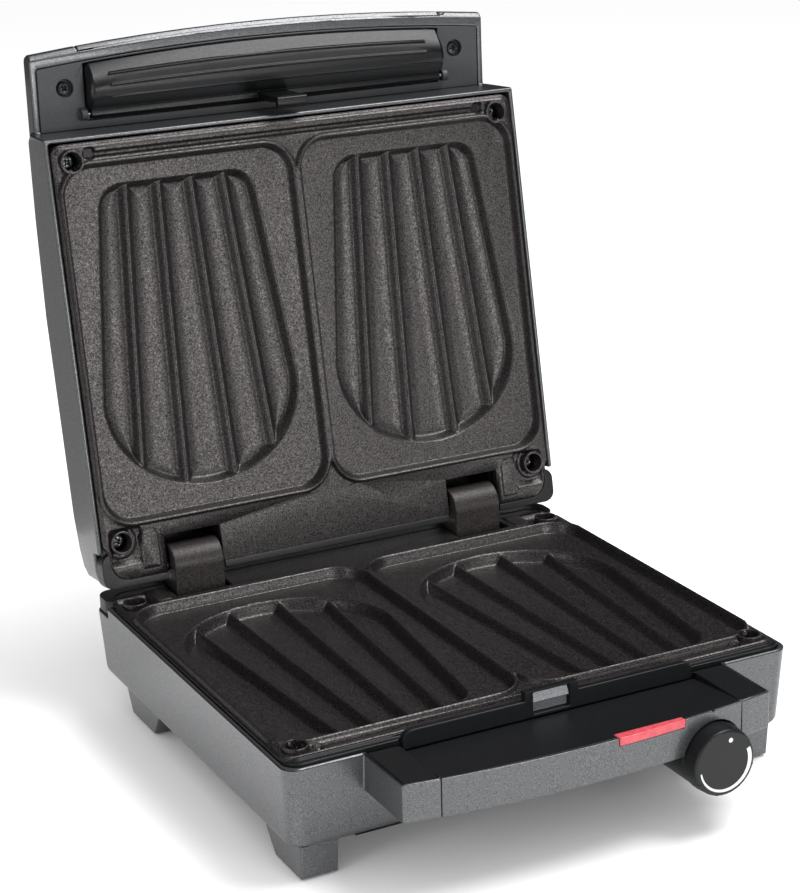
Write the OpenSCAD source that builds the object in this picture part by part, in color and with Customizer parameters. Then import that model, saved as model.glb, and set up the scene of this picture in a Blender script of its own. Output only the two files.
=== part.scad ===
// Sandwich toaster with two shell-shaped toasting hollows, standing open.
// Millimetres. X runs to the right, Y from the front handle to the hinge, Z up.
// The origin is on the table, under the middle of the open toaster.
//
// Two shifts place the pieces. Base pieces are drawn with y = 0 at the back wall and
// -y towards the handle. Lid pieces are drawn as if the lid were shut, with y = 0 at
// the hinge axis and z = 0 at the plane where the two plates meet, and on_lid() then
// swings them open about the hinge.

/* [Base] */
// Width of the base across its rim
base_w = 275; // [260:1:290]
// Depth of the base from back wall to front wall
base_d = 246; // [240:1:252]
// Height of the painted rim above the table
rim_z = 60; // [58:0.5:61]
// Height of the underside of the base above the table
belly_z = 18; // [14:1:22]
// How far each wall leans in from the rim to the belly
draft = 2.4; // [1:0.1:4]
// Wall thickness of the painted mouldings
wall = 2.2; // [2:0.1:2.6]

/* [Front handle] */
// Width of the shelf that forms the lower handle
shelf_w = 197; // [180:1:210]
// Reach of the shelf in front of the base at its ends
shelf_reach = 37.7; // [30:0.1:42]
// Extra reach of the shelf at its middle
shelf_bow = 8.5; // [4:0.5:12]
// Height of the shelf's underside above the table
shelf_z = 41; // [38:1:44]

/* [Lid] */
// Width of the lid across its rim
lid_w = 276; // [262:1:290]
// Distance from the hinge axis to the lid's front wall
lid_reach = 230.4; // [228:0.2:232]
// Distance from the hinge axis to the tip of the upper handle at its ends
grip_reach = 274.3; // [265:0.1:280]
// Extra reach of the upper handle at its middle
grip_bow = 7; // [4:0.5:10]
// Angle to which the lid stands open
lid_open = 101; // [60:1:101]

/* [Hinge] */
// Height of the hinge axis above the table
hinge_z = 73.2; // [72.8:0.1:74]
// Distance of the hinge axis in front of the back wall
hinge_back = 11; // [10.5:0.1:11.5]
// Radius of the hinge pin
pin_r = 2.5; // [2:0.1:2.6]

/* [Plates] */
// Height of the plane where the two plates meet
meet_z = 64.2; // [64:0.1:64.6]
// Depth of each bread pan below that plane
pan_depth = 6; // [5:0.5:7]
// Depth of each toasting hollow below that plane
hollow_depth = 13; // [10:0.5:14]

/* [Knob] */
// Radius of the thermostat knob
knob_r = 17.2; // [15:0.2:18]
// Distance of the knob's axis to the right of the middle
knob_x = 63; // [55:1:66]
// Height of the knob's axis above the table
knob_z = 37; // [35:0.5:40]

/* [Hidden] */
$fn = 48;

gap = 0.2;                                  // joint line between two fitted mouldings
eps = 0.01;
half_w = base_w / 2;
middle_y = 116.36;                          // back wall to the middle of the open toaster
hinge_w = hinge_z - meet_z;                 // hinge axis above the plane of the plates
floor_t = 2.5;
back_rim_z = 54;                            // lowered rim behind the hinge
back_rim_y = -20.5;
shelf_end = base_d + shelf_reach;
seam_x = 80.5;                              // joint lines in the lower handle
lid_seam_x = 106.8;                         // joint lines in the upper handle
lid_half = lid_w / 2;
rim_w = 3;                                  // lid rim above the plane of the plates
flange_w = 2.5;                             // plate flange below that plane
flange_t = 3;
plate_half = 135;
plate_front = 227.2;
plate_back = -2.3;
boss_x = 124.7;
boss_v = [17.9, 217.9];
arm_x = [70.5, 98.5];
arm_r = 11.5;
notch_x = [68.5, 101];                      // openings in lid and plates for the hinge arms
notch_v = 17.5;
tower_y = -246.4;                           // front face of the catch wall
pad_y = -246.4;                             // flat pad of the front wall under the knob housing
passage_r = knob_r + 0.5;                   // opening round the knob through the lower handle
deck_z = meet_z - 9;                        // top of the frame's ring, under the pans
boss_end = 14;                              // length of the plates' corner bosses
base_screw_x = 104;
base_screw_y = [-236.5, -16];
arm_screw_x = [77.5, 91.5];
arm_screw_y = -13;
panel_screw = [115.4, 255.8];               // screws of the upper handle, as x and v
trim_t = 1.4;                               // thickness of the handles' trim strips
lens_z = 56.2;                              // underside of the indicator lens
lever_v = 241.5;                            // pivot of the latch lever
lever_w = 25;
lever_half = 104.4;

// ---- shapes used by several pieces ----

// Points of a circular arc
function arc(cx, cy, r, a0, a1, n = 8) =
    [for (i = [0:n]) [cx + r * cos(a0 + (a1 - a0) * i / n), cy + r * sin(a0 + (a1 - a0) * i / n)]];

// Bow of a handle's front edge at x, from 0 at the ends to 1 at the middle
function bow(x, half) = 1 - pow(min(abs(x), half) / half, 2);

// Front edge of the lower handle, as a y of the base
function shelf_y(x) = -(shelf_end + shelf_bow * bow(x, shelf_w / 2));

// Front edge of the upper handle, as a distance from the hinge axis
function grip_v(x) = grip_reach + grip_bow * bow(x, lid_half - 4.4);

// Rounded rectangle between two corners
module round_rect(x0, x1, y0, y1, r) {
    for (x = [x0 + r, x1 - r], y = [y0 + r, y1 - r]) translate([x, y]) circle(r);
    translate([x0 + r, y0]) square([x1 - x0 - 2 * r, y1 - y0]);
    translate([x0, y0 + r]) square([x1 - x0, y1 - y0 - 2 * r]);
}

module round_slab(x0, x1, y0, y1, z0, z1, r) {
    translate([0, 0, z0]) linear_extrude(z1 - z0) round_rect(x0, x1, y0, y1, r);
}

module block(x0, x1, y0, y1, z0, z1) {
    translate([x0, y0, z0]) cube([x1 - x0, y1 - y0, z1 - z0]);
}

// Outline drawn in the y-z plane and pulled along X
module pulled_x(x0, x1) {
    translate([x0, 0, 0]) rotate([90, 0, 90]) linear_extrude(x1 - x0) children();
}

// Rod along X or along Y
module rod_x(r, x0, x1) { translate([x0, 0, 0]) rotate([0, 90, 0]) cylinder(h = x1 - x0, r = r); }
module rod_y(r, y0, y1) { translate([0, y1, 0]) rotate([90, 0, 0]) cylinder(h = y1 - y0, r = r); }

module both_sides() {
    children();
    mirror([1, 0, 0]) children();
}

module on_base() { translate([0, middle_y, 0]) children(); }

module on_lid() {
    on_base() translate([0, -hinge_back, hinge_z]) rotate([-lid_open, 0, 0])
        translate([0, 0, -hinge_w]) children();
}

// ---- base shell ----

// Tub with leaning walls and a rounded bottom edge
module tub(inset, bottom, top, edge) {
    function lean(z) = draft * (rim_z - z) / (rim_z - belly_z);
    hull() {
        for (a = [0:30:90]) {
            z = bottom + edge * (1 - sin(a));
            d = inset + lean(z) + edge * (1 - cos(a));
            round_slab(-half_w + d, half_w - d, -base_d + d, -d, z, z + eps, 7.5, $fn = 32);
        }
        round_slab(-half_w + inset, half_w - inset, -base_d + inset, -inset, rim_z - 0.5, top, 7.5, $fn = 32);
    }
}

// Plan of the lower handle, drawn in by a margin at its ends and front
module shelf_plan(margin, x_half = shelf_w / 2) {
    half = min(x_half, shelf_w / 2 - margin);
    xs = concat([-half], [for (x = [-88:8:88]) if (abs(x) < half - 1) x], [half]);
    polygon(concat([[-half, -base_d + 4]], [for (x = xs) [x, shelf_y(x) + margin]], [[half, -base_d + 4]]));
}

module leg(x_in, x_out, y_front, y_back, spread_front, spread_back) {
    pulled_x(x_in, x_out) polygon([[y_front - spread_front, belly_z + 5], [y_front, 1], [y_back, 1],
        [y_back + spread_back, belly_z + 5]]);
}

module base_shell() {
    screw_xy = [for (x = [-base_screw_x, base_screw_x], y = base_screw_y) [x, y]];
    color("dimgray") on_base() difference() {
        union() {
            difference() {
                union() {
                    tub(0, belly_z, rim_z, 4);
                    translate([0, 0, shelf_z]) linear_extrude(rim_z - shelf_z) shelf_plan(0);
                    both_sides() {
                        leg(110.5, 129.5, -239.6, -211, 2, 20);
                        leg(110.5, 129.5, -59, -28, 14, 12);
                    }
                }
                tub(wall, belly_z + floor_t, rim_z + 1, 2.5);
                // hollow of the lower handle, open at the top for the tray
                translate([0, 0, shelf_z + floor_t]) linear_extrude(rim_z) shelf_plan(trim_t);
                // front of the handle, where the trim strip is let in
                translate([0, 0, shelf_z - 1]) linear_extrude(rim_z) difference() {
                    shelf_plan(-1, seam_x);
                    shelf_plan(trim_t, seam_x + 1);
                }
                // lowered rim at the back, under the open lid
                block(-half_w - 1, half_w + 1, back_rim_y, 1, back_rim_z, rim_z + 2);
            }
            // pillars that take the screws from below
            for (p = screw_xy) translate([p[0], p[1], belly_z + 1]) cylinder(h = 28, r = 5);
            // flat pads on both faces of the front wall, for the knob housing and the thermostat
            translate([knob_x, 0, knob_z]) rod_y(passage_r, pad_y, -243.2);
            block(knob_x - 18, knob_x + 18, -243.5, -241.9, 27, 47);
        }
        for (p = screw_xy) translate([p[0], p[1], 0]) {
            cylinder(h = belly_z + 12, r = 4);
            cylinder(h = 60, r = 2.2);
        }
        // pockets for the rubber feet
        both_sides() {
            round_slab(113.5, 126.5, -236, -215, 0, 2.5, 3);
            round_slab(113.5, 126.5, -55, -32, 0, 2.5, 3);
        }
        // cooling slots in the floor
        for (x = [-60:12:60]) round_slab(x - 1.75, x + 1.75, -160, -95, belly_z - 1, belly_z + 4, 1.7);
        // round passage of the knob housing under the handle, and of its shaft
        translate([knob_x, 0, knob_z]) {
            rod_y(passage_r, -300, pad_y);
            rod_y(5, -250, -235);
        }
        // hole of the cord gland in the back wall
        translate([-70, 0, 36]) rod_y(6, -10, 5);
    }
}

// ---- base frame: the black inner frame that carries the lower plate ----

module catch_wall() {
    // wall behind the tray, its ends rounded down
    translate([0, -243, 0]) rotate([90, 0, 0]) linear_extrude(-243 - tower_y)
        polygon(concat([[-79, 56.8]], arc(-74, 61, 5, 180, 90), arc(74, 61, 5, 90, 0), [[79, 56.8]]));
    block(-14.5, 14.5, tower_y, -242.2, 56.8, 70.4);
    block(-76, 76, -243.1, -242.2, 56.8, 62.4);
}

module base_frame() {
    seat_z = meet_z - flange_w - flange_t;
    color("#1b1c1f") on_base() difference() {
        union() {
            difference() {
                union() {
                    round_slab(-134.3, 134.3, -243, -8, 50, seat_z, 7.5);
                    // lip in front of the plate, with its lower outer step
                    round_slab(-135, 135, -240, -150, seat_z - 0.7, 62.4, 7.5);
                    round_slab(-135, 135, -243.4, -150, seat_z - 0.7, 61.2, 7.5);
                    // rear section, seen in the lowered rim
                    round_slab(-136.2, 136.2, back_rim_y + 0.2, -0.9, back_rim_z + gap, 62, 7);
                }
                // seat of the plate
                round_slab(-plate_half - 0.15, plate_half + 0.15, -plate_front - hinge_back - gap, -30, seat_z, 70, 3);
                round_slab(-131.7, 131.7, -60, -hinge_back - plate_back + gap, seat_z, 70, 10);
                // open middle, and room for the undersides of the pans and their bosses
                round_slab(-128, 128, -236, -28, 40, 70, 8);
                round_slab(-60, 60, -60, -14, 40, 70, 6);
                block(-140, 140, -228.6, -36.4, deck_z - 0.2, 70);
                for (x = [-boss_x, boss_x], v = boss_v)
                    translate([x, -hinge_back - v, meet_z - boss_end]) cylinder(h = 20, r = 6.6);
            }
            catch_wall();
            // pillars under the plate's corner bosses and over the shell's pillars
            for (x = [-boss_x, boss_x], v = boss_v)
                translate([x, -hinge_back - v, 40]) cylinder(h = meet_z - boss_end - 40, r = 5.5);
            both_sides() for (v = boss_v)
                block(boss_x, 133, -hinge_back - v - 3, -hinge_back - v + 3, 46, meet_z - boss_end + 0.5);
            both_sides() for (y = base_screw_y)
                translate([base_screw_x, y, belly_z + 29]) cylinder(h = 6, r = 5);
        }
        // screw holes
        for (x = [-boss_x, boss_x], v = boss_v)
            translate([x, -hinge_back - v, 30]) cylinder(h = 60, r = 2);
        both_sides() for (v = boss_v)
            translate([boss_x, -hinge_back - v, meet_z - boss_end]) cylinder(h = 20, r = 6.6);
        both_sides() for (y = base_screw_y) translate([base_screw_x, y, 40]) cylinder(h = 12.5, r = 1.8);
        both_sides() for (x = arm_screw_x) translate([x, arm_screw_y, 40]) {
            cylinder(h = 30, r = 2.2);
            cylinder(h = 12, r = 4.3);
        }
        // footprint of the hinge arms
        both_sides() block(arm_x[0] - gap, arm_x[1] + gap, -30, -2.3, seat_z, 70);
        // catch window
        block(-10, 10, tower_y - 1, -242.9, 58.5, 69.6);
    }
}

// ---- lower handle ----

module base_handle_trim() {
    color("dimgray") on_base() difference() {
        union() {
            translate([0, 0, shelf_z]) linear_extrude(rim_z - shelf_z) difference() {
                shelf_plan(0, seam_x - gap);
                shelf_plan(trim_t, seam_x + 1);
            }
            // foot that lies on the floor of the handle
            translate([0, 0, shelf_z + floor_t]) linear_extrude(2) difference() {
                shelf_plan(trim_t - eps, seam_x - 2);
                shelf_plan(8, seam_x + 1);
            }
        }
        // passage of the knob housing, index mark over the knob, window of the lens
        translate([knob_x, 0, knob_z]) rod_y(passage_r, -300, -270);
        block(knob_x - 0.6, knob_x + 0.6, -300, -280, rim_z - 0.8, rim_z + 1);
        block(8.8, 46.2, -300, -280, lens_z, rim_z + 1);
    }
}

module base_handle_tray() {
    color("#202124") on_base() difference() {
        intersection() {
            translate([0, 0, 40]) linear_extrude(30) shelf_plan(trim_t + gap);
            union() {
                // sloping middle, between two level ends
                pulled_x(-seam_x, seam_x) polygon([[-300, 60.8], [-288, 59.8], [-246.6, 56.5],
                    [-246.6, 54.1], [-288, 56.6], [-300, 57]]);
                both_sides() block(seam_x - eps, 98, -300, -246.6, 56.8, 59.7);
                // posts that stand on the floor of the handle
                for (x = [-88, -30, 5, 88]) translate([x, -262, shelf_z + floor_t]) cylinder(h = 13.5, r = 3);
            }
        }
        translate([8.8, -300, 50]) cube([37.4, 300 + shelf_y(46) + 3.6, 20]);
    }
}

module indicator_lens() {
    color("#e05560", 0.85) on_base() translate([0, 0, lens_z]) linear_extrude(rim_z + 0.3 - lens_z)
        polygon(concat([for (i = [0:6]) let (x = 9 + 37 * i / 6) [x, shelf_y(x) - 0.4]],
            [[46, shelf_y(46) + 3.4], [9, shelf_y(46) + 3.4]]));
}

module indicator_lamp() {
    // small neon lamp lying on the floor of the handle, in its holder
    color("#e8d8c8") on_base() {
        translate([0, -276, shelf_z + floor_t + 4]) rod_x(3, 18, 34);
        block(33.9, 40, -280, -272, shelf_z + floor_t, shelf_z + floor_t + 8);
    }
}

// ---- plates ----
// Drawn with the food side up, z = 0 at the plane where the plates meet.

hollow_c = 67.5;

// Half of a toasting hollow's outline, in from its top corner to its tip
function hollow_side() = concat(arc(45 - 14, 204.5 - 14, 14, 90, 0, 6), [[56, 90]],
    [for (i = [1:12]) let (a = i * 90 / 12) [56 * cos(a), 89 - 49.5 * sin(a)]]);

module hollow_outline(grow) {
    side = hollow_side();
    flipped = [for (i = [len(side) - 1:-1:0]) [-side[i][0], side[i][1]]];
    k = 1 + grow / 56;
    polygon([for (p = concat(side, flipped)) [p[0] * k, -122 - (p[1] - 122) * (1 + grow / 80)]]);
}

// Outline of one bread pan, with its bites round the corner boss
module pan_outline(grow) {
    difference() {
        round_rect(1.6 - grow, 133.2 + grow, -216 - grow, -27 + grow, 17 + grow);
        translate([boss_x, -boss_v[1]]) circle(8.2 - grow);
    }
}

module plate_outline(grow) {
    round_rect(-plate_half - grow, plate_half + grow, -plate_front - grow, -13, 6);
    round_rect(-131.5 - grow, 131.5 + grow, -40, -plate_back + grow, 10);
}

// Straight ridge that presses a line across the bread
module ridge(x0, x1) {
    v0 = 203;
    v1 = 34;
    turn = atan2(x1 - x0, v0 - v1);
    translate([x0, -v0, -hollow_depth - eps]) rotate([0, 0, -turn]) translate([0, 200, 0]) rotate([90, 0, 0])
        linear_extrude(220) polygon([[-4, 0], [-0.6, 5.5], [0.6, 5.5], [4, 0]]);
}

module plate_casting() {
    difference() {
        union() {
            translate([0, 0, -flange_w - flange_t]) linear_extrude(flange_t) plate_outline(0);
            both_sides() {
                // pan rim, pan body and hollow body
                translate([0, 0, -flange_w - flange_t]) linear_extrude(flange_w + flange_t - 0.2) pan_outline(1.8);
                translate([0, 0, -pan_depth - 3]) linear_extrude(5) pan_outline(1.2);
                translate([hollow_c, 0, -hollow_depth - 3]) linear_extrude(12) hollow_outline(3);
                // corner bosses
                for (v = boss_v) translate([boss_x, -v, -boss_end]) cylinder(h = boss_end - 0.2, r = 6.3);
                // pads beside the rear bosses
                block(104.5, 114, -20, -2, -flange_w - flange_t, -1.5);
                // posts that carry the heat shield
                for (v = [42, 200]) translate([122, -v, -24]) {
                    cylinder(h = 16, r = 4);
                    translate([0, 0, -2]) cylinder(h = 3, r = 2);
                }
            }
            // web between the two pans
            block(-5, 5, -200, -40, -pan_depth - 3, -0.2);
        }
        both_sides() {
            // pan pocket and hollow pocket, both with leaning walls
            hull() {
                translate([0, 0, -0.1]) linear_extrude(0.2) round_rect(1.6, 133.2, -216, -27, 17, $fn = 32);
                translate([0, 0, -pan_depth]) linear_extrude(0.1) round_rect(4.1, 130.7, -213.5, -29.5, 15, $fn = 32);
            }
            translate([hollow_c, 0, 0]) hull() {
                translate([0, 0, -pan_depth]) linear_extrude(0.1) hollow_outline(0);
                translate([0, 0, -hollow_depth]) linear_extrude(0.1) hollow_outline(-3.5);
            }
            // openings for the hinge arms
            block(notch_x[0], notch_x[1], -notch_v, 5, -20, 5);
        }
        // drip groove along the front and the low outer step of the flange
        round_slab(-116, 116, -221.6, -219.4, -4.5, 0, 1);
        difference() {
            block(-150, 150, -240, -20, -3.3, 0);
            round_slab(-133.5, 133.5, -225.2, 10, -4, 1, 5);
        }
    }
    difference() {
        both_sides() {
            // corner bosses stand in the pans' corners
            translate([boss_x, -boss_v[1], -flange_w - flange_t]) cylinder(h = flange_w + flange_t - 0.2, r = 8);
            intersection() {
                translate([hollow_c, 0, -hollow_depth - 1]) linear_extrude(8) hollow_outline(1);
                translate([hollow_c, 0, 0]) for (s = [-1, 1]) {
                    ridge(s * 9.2, s * 14.4);
                    ridge(s * 27.6, s * 39.5);
                }
            }
        }
        both_sides() for (v = boss_v) translate([boss_x, -v, -11.5]) cylinder(h = 20, r = 5);
    }
}

module drilled_plate() {
    difference() {
        plate_casting();
        both_sides() for (v = boss_v) translate([boss_x, -v, -30]) {
            cylinder(h = 40, r = 2.2);
            translate([0, 0, 18.5]) cylinder(h = 40, r = 5);
        }
    }
}

module in_lower_plate() { on_base() translate([0, -hinge_back, meet_z]) children(); }
module in_upper_plate() { on_lid() mirror([0, 0, 1]) children(); }

// Tubular heating element bent to a U, pressed flat where it lies on the plate
module element() {
    r = 3.25;
    seat = -hollow_depth - 3;
    difference() {
        translate([0, -120, seat - 2.75]) {
            translate([-50, 0, 0]) rotate([0, 0, 90]) rotate_extrude(angle = 180) translate([45, 0]) circle(r);
            for (s = [-1, 1]) translate([0, 45 * s, 0]) {
                rod_x(r, -50, 96);
                rod_x(1.6, 95, 106);
            }
        }
        block(-150, 150, -200, 0, seat, 0);
    }
}

// Reflector sheet with turned-down edges, riveted on the plate's four posts
module heat_shield() {
    difference() {
        union() {
            round_slab(-128, 128, -210, -32, -24.8, -24, 5);
            difference() {
                round_slab(-128, 128, -210, -32, -24.8, -20, 5);
                round_slab(-127.2, 127.2, -209.2, -32.8, -30, 0, 4.2);
            }
        }
        both_sides() for (v = [42, 200]) translate([122, -v, -40]) cylinder(h = 30, r = 2);
        // way out for the ends of the element
        for (s = [-1, 1]) translate([124, -120 + 45 * s, -22]) cube([10, 8, 6], center = true);
    }
}

// Screw with a dished cross-recess head, head down at z = 0
module screw(head_r, head_h, shank_r, length) {
    difference() {
        union() {
            translate([0, 0, -head_h]) cylinder(h = head_h, r = head_r);
            translate([0, 0, -eps]) cylinder(h = length, r = shank_r);
        }
        for (a = [0, 90]) rotate([0, 0, a]) translate([0, 0, -head_h])
            cube([head_r * 1.1, 0.9, 1.6], center = true);
    }
}

module plate_screws() {
    // heads up in the bosses, shanks down into the frame's pillars
    for (x = [-boss_x, boss_x], v = boss_v) translate([x, -v, -11.5]) mirror([0, 0, 1]) screw(4, 2.6, 2, 12);
}

module lower_plate() { color("#38342f") in_lower_plate() drilled_plate(); }
module upper_plate() { color("#38342f") in_upper_plate() drilled_plate(); }
module lower_heating_element() { color("#6f7276") in_lower_plate() element(); }
module upper_heating_element() { color("#6f7276") in_upper_plate() element(); }
module lower_heat_shield() { color("#c9cbcd") in_lower_plate() heat_shield(); }
module upper_heat_shield() { color("#c9cbcd") in_upper_plate() heat_shield(); }
module lower_plate_screws() { color("#8d8f92") in_lower_plate() plate_screws(); }
module upper_plate_screws() { color("#8d8f92") in_upper_plate() plate_screws(); }

// ---- catch, hinge arms, feet, screws, cord gland ----

// Bent catch plate: a sloping nose over a step that holds the latch's tooth
module catch_plate() {
    color("#6a6c70") on_base() pulled_x(-9.8, 9.8)
        polygon([[-242.9, 58.7], [-242.9, 69.4], [-243.6, 69.4], [-245.5, 64.4], [-245.5, 64],
            [-243.7, 64], [-243.7, 58.7]]);
}

module hinge_arm() {
    seat_z = meet_z - flange_w - flange_t;
    difference() {
        union() {
            translate([0, -hinge_back, hinge_z]) rod_x(arm_r, arm_x[0], arm_x[1]);
            block(arm_x[0], arm_x[1], -hinge_back - arm_r, -2.5, seat_z, hinge_z);
        }
        translate([0, -hinge_back, hinge_z]) rod_x(pin_r + 0.05, 60, 110);
        for (x = arm_screw_x) translate([x, arm_screw_y, seat_z - 1]) cylinder(h = 9, r = 2);
    }
}

module hinge_arm_right() { color("#26231f") on_base() hinge_arm(); }
module hinge_arm_left() { color("#26231f") on_base() mirror([1, 0, 0]) hinge_arm(); }

module hinge_screws() {
    color("#8d8f92") on_base() both_sides() for (x = arm_screw_x)
        translate([x, arm_screw_y, 52]) screw(4, 2.6, 2, 14);
}

module base_screws() {
    color("#8d8f92") on_base() both_sides() for (y = base_screw_y)
        translate([base_screw_x, y, belly_z + 12]) screw(3.8, 2.6, 1.8, 22);
}

module rubber_feet() {
    color("#17181a") on_base() both_sides() {
        round_slab(113.7, 126.3, -235.8, -215.2, 0, 2.5, 2.8);
        round_slab(113.7, 126.3, -54.8, -32.2, 0, 2.5, 2.8);
    }
}

module cord_gland() {
    // grommet snapped into the back wall, with the passage of the supply cord
    color("#17181a") on_base() translate([-70, 0, 36]) difference() {
        union() {
            rod_y(5.9, -5, 3);
            rod_y(8, -0.9, 3);
            rod_y(7.5, -6.5, -4);
        }
        rod_y(3.4, -10, 10);
    }
}

// ---- thermostat and knob ----

module thermostat() {
    color("#b9b3a6") on_base() difference() {
        union() {
            block(knob_x - 13, knob_x + 13, -240, -222, 29, 45);
            // bracket that lies on the pad of the front wall
            block(knob_x - 18, knob_x + 18, -241.9, -239.9, 29, 45);
            // threaded collar round the shaft
            translate([knob_x, 0, knob_z]) rod_y(4.8, -247.5, -240);
        }
        translate([knob_x, 0, knob_z]) rod_y(3.05, -250, -228);
    }
}

module knob_housing() {
    // open cylinder between the front wall and the knob
    color("#1b1c1f") on_base() translate([knob_x, 0, knob_z]) difference() {
        rod_y(16.8, -288.4, pad_y);
        rod_y(14.6, -289, -249);
        rod_y(5.2, -252, -240);
    }
}

module thermostat_shaft() {
    color("#b5b7ba") on_base() translate([knob_x, 0, knob_z]) difference() {
        rod_y(3, -294, -229);
        // flat for the knob
        translate([-4, -295, 1.8]) cube([8, 10, 4]);
    }
}

module knob() {
    color("#202124") on_base() translate([knob_x, 0, knob_z]) difference() {
        // skirt with a narrower, slightly tapered front
        translate([0, -289, 0]) rotate([90, 0, 0]) rotate_extrude($fn = 96)
            polygon([[0, 0], [knob_r, 0], [knob_r, 3], [knob_r - 0.5, 8.6], [knob_r - 1.6, 10], [0, 10]]);
        difference() {
            rod_y(14.8, -296.5, -288);
            rod_y(5, -297, -287);
        }
        difference() {
            rod_y(3, -294, -280);
            translate([-4, -295, 1.8]) cube([8, 10, 4]);
        }
    }
}

// ---- lid shell ----

// Height of the lid's top surface along its sides
function top_w(v) = v < 30 ? 36.5 + 9.8 * (1 - pow((30 - v) / 33, 2)) :
    v < 140 ? 46.3 + 1.4 * (v - 30) / 110 : 47.7 - 16.2 * pow((v - 140) / 134.3, 1.25);

// Cross-section of the lid across X, with rounded shoulders and a low crown
module lid_section(half, bottom, top, crown) {
    side = concat([[half, bottom]], arc(half - 2 - 5, top - 5, 5, 0, 90, 4),
        [for (i = [1:3]) let (x = (half - 7) * (1 - i / 3)) [x, top + crown * (1 - pow(x / half, 2))]]);
    rotate([90, 0, 0]) linear_extrude(eps) polygon(concat(side,
        [for (i = [len(side) - 2:-1:0]) [-side[i][0], side[i][1]]]));
}

// Body of the lid over the plates; inset draws its inner surface
module lid_body(inset) {
    half = lid_half - inset;
    low = inset > 0 ? -1 : rim_w;
    back = -6.5 + inset;
    hull() {
        translate([0, -back, 0]) lid_section(half - 8, low, 14 - inset, 0);
        translate([0, -back - 1.2, 0]) lid_section(half - 4, low, 25 - inset, 0);
        translate([0, -back - 4.5, 0]) lid_section(half - 1, low, 37 - inset, 0);
        for (v = [3, 12, 30, 60, 100, 140, 165, 190, 212, lid_reach - inset])
            translate([0, -v, 0]) lid_section(half, low, top_w(v) - inset, 3);
        if (inset == 0) translate([0, -234, 0]) lid_section(half - 2, 29, top_w(234), 3);
    }
}

// Slab of the upper handle: slices along X that follow the bowed front edge
module grip_body(front, low_drop, high_drop, half) {
    hull() for (i = [-6:6]) {
        x = half * i / 6;
        v = grip_v(x) - front;
        crown = 3 * (1 - pow(x / lid_half, 2));
        translate([x - eps / 2, 0, 0]) rotate([90, 0, 90]) linear_extrude(eps)
            polygon([[-222, 30.6 + low_drop], [-v + 3, 22.1 + low_drop], [-v, 24], [-v - 0.4, 27],
                [-v + 0.6, top_w(v) + crown - high_drop - 1], [-v + 2, top_w(v) + crown - high_drop],
                [-222, top_w(222) + crown - high_drop]]);
    }
}

// Plan of the black panel under the upper handle
module panel_plan(grow, x_half = 130) {
    half = x_half + grow;
    polygon(concat([[-half, -233.9 + grow]],
        [for (i = [0:24]) let (x = -half + 2 * half * i / 24) [x, -grip_v(x) + 8.2 - grow]],
        [[half, -233.9 + grow]]));
}

// Plan of the upper handle behind its trim strip
module grip_inside() {
    polygon(concat([[-120, -240]], [for (i = [-12:12]) [10 * i, -grip_v(10 * i) + 2.4]], [[120, -240]]));
}

module lid_shell() {
    color("dimgray") on_lid() {
        difference() {
            union() {
                lid_body(0);
                grip_body(0, 0, 0, lid_half - 4.4);
            }
            lid_body(wall);
            // pocket of the upper handle, filled by the panel
            intersection() {
                translate([0, 0, -10]) linear_extrude(60) panel_plan(gap);
                grip_body(-20, -30, 2.4, lid_half);
            }
            // front face, where the trim strip is let in
            translate([0, 0, 10]) linear_extrude(50) difference() {
                polygon([[-lid_seam_x, -265], [-lid_seam_x, -300], [lid_seam_x, -300], [lid_seam_x, -265]]);
                grip_inside();
            }
            // raised rim beside the hinge, filled by the frame
            block(-150, 150, -13, 20, -5, 12);
            // openings for the hinge arms, and the screw holes of the handle's panel
            both_sides() {
                block(notch_x[0], notch_x[1], -notch_v, 20, 0, 26);
                translate([panel_screw[0], -panel_screw[1], 20]) cylinder(h = 13.6, r = 2);
            }
        }
        both_sides() {
            // pillars over the frame's pillars
            for (v = boss_v) translate([boss_x, -v, 25]) cylinder(h = top_w(v) - 26.2, r = 5);
            // posts that take the screws of the handle's panel
            translate([panel_screw[0], -panel_screw[1], 30]) difference() {
                cylinder(h = 4, r = 4.5);
                translate([0, 0, -1]) cylinder(h = 6, r = 2);
            }
        }
        // seat of the latch's spring
        pulled_x(-9, 9) polygon([[-263, 33], [-246, 33], [-246, 37.5], [-263, 35]]);
    }
}

module lid_handle_trim() {
    color("dimgray") on_lid() intersection() {
        grip_body(0, 0, 0, lid_half - 4.4);
        translate([0, 0, 10]) linear_extrude(50) difference() {
            polygon([[-lid_seam_x + gap, -262], [-lid_seam_x + gap, -300],
                [lid_seam_x - gap, -300], [lid_seam_x - gap, -262]]);
            grip_inside();
        }
    }
}

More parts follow.
